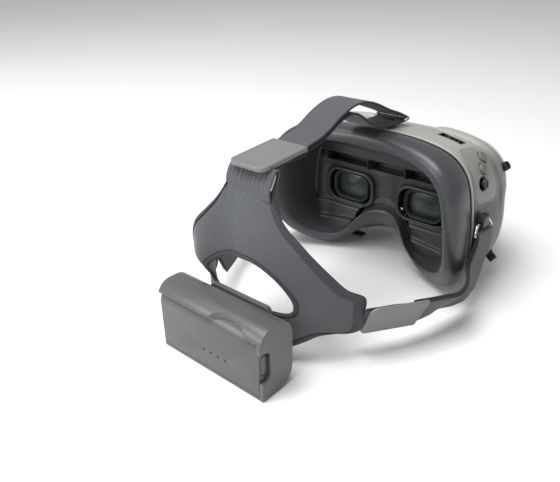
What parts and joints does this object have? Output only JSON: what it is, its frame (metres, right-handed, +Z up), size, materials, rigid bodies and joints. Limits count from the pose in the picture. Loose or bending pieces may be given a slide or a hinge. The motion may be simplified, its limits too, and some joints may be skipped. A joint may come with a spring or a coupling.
{
  "type": "first person view goggles",
  "caption": "Head-worn video goggles: moulded housing, face cushion, sliding lens barrels and push controls, on a padded three-strap headband that carries a slide-in battery pack.",
  "frame": {"origin": "centre of the bounding box footprint, on the surface the goggles and the battery holder rest on", "axes": "+X to the wearer's left, -Y to the front of the goggles, +Z up; symmetric left to right about X=0 apart from controls and ports"},
  "size_m": [0.1928, 0.262, 0.1368],
  "materials": {
    "shell_light": "fine moulded texture",
    "panel_grey": "satin",
    "black_gloss": "gloss",
    "black_matte": "fine texture",
    "seam_trim": "satin edge",
    "mask_rubber": "soft matt skin",
    "faceplate_black": "matt",
    "steel": "brushed",
    "lens_glass": "coated",
    "display_glass": "gloss",
    "circuit_board": "solder mask",
    "shield_metal": "stamped",
    "heat_sink_aluminium": "extruded",
    "brass_gold": "dark plated",
    "link_red": "gloss",
    "chrome_wire": "polished",
    "webbing": "woven",
    "tab_rubber": "matt",
    "pad_fabric": "brushed knit over foam",
    "battery_plastic": "fine spark texture",
    "cell_wrap": "shrink wrap",
    "light_guide": "frosted"
  },
  "bodies": {
    "goggles": {"rear_housing": "shell_light", "front_cover": "shell_light", "visor_panel": "black_gloss", "intake_grille": "black_matte", "control_panel": "panel_grey", "channel_panel": "panel_grey", "mask_carrier": "seam_trim", "face_padding": "mask_rubber", "faceplate": "faceplate_black", "lens_frames": "faceplate_black", "optic_rails": "steel", "main_board": "circuit_board", "radio_shield": "shield_metal", "heat_sink": "heat_sink_aluminium", "fan_housing": "black_matte", "channel_display": "black_gloss", "port_panel": "black_matte", "audio_jack": "black_matte", "usb_port": "steel", "power_jack": "black_matte", "antenna_jacks": "brass_gold", "air_vents": "black_matte", "housing_screws": "steel", "strap_lugs": "black_matte", "right_loop": "chrome_wire", "left_loop": "chrome_wire", "top_loop": "black_matte", "right_strap": "webbing", "left_strap": "webbing", "top_strap": "webbing", "right_tab": "tab_rubber", "left_tab": "tab_rubber", "top_tab": "tab_rubber", "back_pad": "pad_fabric", "pad_ring": "chrome_wire", "battery_holder": "battery_plastic", "holder_plate": "battery_plastic", "holder_screws": "steel"},
    "right_optic": {"right_optic_barrel": "black_matte", "right_lens": "lens_glass", "right_display": "display_glass", "right_ipd_slider": "black_matte"},
    "left_optic": {"left_optic_barrel": "black_matte", "left_lens": "lens_glass", "left_display": "display_glass", "left_ipd_slider": "black_matte"},
    "fan": {"fan_rotor": "black_matte"},
    "record": {"record_button": "panel_grey"},
    "back": {"back_button": "panel_grey"},
    "channel_up": {"channel_up_button": "panel_grey"},
    "channel_down": {"channel_down_button": "panel_grey"},
    "link": {"link_button": "link_red"},
    "stick_gimbal": {"joystick_gimbal": "black_matte"},
    "stick_rocker": {"joystick_rocker": "black_matte"},
    "stick_cap": {"joystick_cap": "black_matte"},
    "battery": {"battery_case": "battery_plastic", "battery_cells": "cell_wrap", "battery_board": "circuit_board", "level_lights": "light_guide"},
    "power_button": {"battery_button": "battery_plastic"}
  },
  "joints": [
    {"name": "right_eye_distance", "type": "slide", "parent": "goggles", "child": "right_optic", "axis": [1, 0, 0], "range_m": [-0.003, 0.003]},
    {"name": "left_eye_distance", "type": "slide", "parent": "goggles", "child": "left_optic", "axis": [1, 0, 0], "range_m": [-0.003, 0.003]},
    {"name": "fan_spin", "type": "hinge", "parent": "goggles", "child": "fan", "pos_m": [0, -0.107, 0.058], "axis": [0, 1, 0], "continuous": true},
    {"name": "record_press", "type": "slide", "parent": "goggles", "child": "record", "axis": [0.6816, 0, -0.7317], "range_m": [0, 0.0008], "stiffness_N_per_m": 500, "springref_m": -0.0006},
    {"name": "back_press", "type": "slide", "parent": "goggles", "child": "back", "axis": [0.8645, 0, -0.5026], "range_m": [0, 0.0008], "stiffness_N_per_m": 500, "springref_m": -0.0006},
    {"name": "channel_up_press", "type": "slide", "parent": "goggles", "child": "channel_up", "axis": [-0.6816, 0, -0.7317], "range_m": [0, 0.0008], "stiffness_N_per_m": 500, "springref_m": -0.0006},
    {"name": "channel_down_press", "type": "slide", "parent": "goggles", "child": "channel_down", "axis": [-0.8645, 0, -0.5026], "range_m": [0, 0.0008], "stiffness_N_per_m": 500, "springref_m": -0.0006},
    {"name": "link_press", "type": "slide", "parent": "goggles", "child": "link", "axis": [-1, 0, 0], "range_m": [0, 0.0005], "stiffness_N_per_m": 500, "springref_m": -0.0006},
    {"name": "stick_up_down", "type": "hinge", "parent": "goggles", "child": "stick_gimbal", "pos_m": [-0.07135, -0.0495, 0.08145], "axis": [0, 1, 0], "range_deg": [-10, 10], "stiffness_Nm_per_rad": 0.02},
    {"name": "stick_left_right", "type": "hinge", "parent": "stick_gimbal", "child": "stick_rocker", "pos_m": [-0.07135, -0.0495, 0.08145], "axis": [-0.3102, 0, -0.9507], "range_deg": [-10, 10], "stiffness_Nm_per_rad": 0.02},
    {"name": "stick_press", "type": "slide", "parent": "stick_rocker", "child": "stick_cap", "axis": [0.9507, 0, -0.3102], "range_m": [0, 0.0006], "stiffness_N_per_m": 500, "springref_m": -0.0006},
    {"name": "battery_slide", "type": "slide", "parent": "goggles", "child": "battery", "axis": [1, 0, 0], "range_m": [0, 0.086]},
    {"name": "power_press", "type": "slide", "parent": "battery", "child": "power_button", "axis": [1, 0, 0], "range_m": [0, 0.0007], "stiffness_N_per_m": 500, "springref_m": -0.0006}
  ]
}
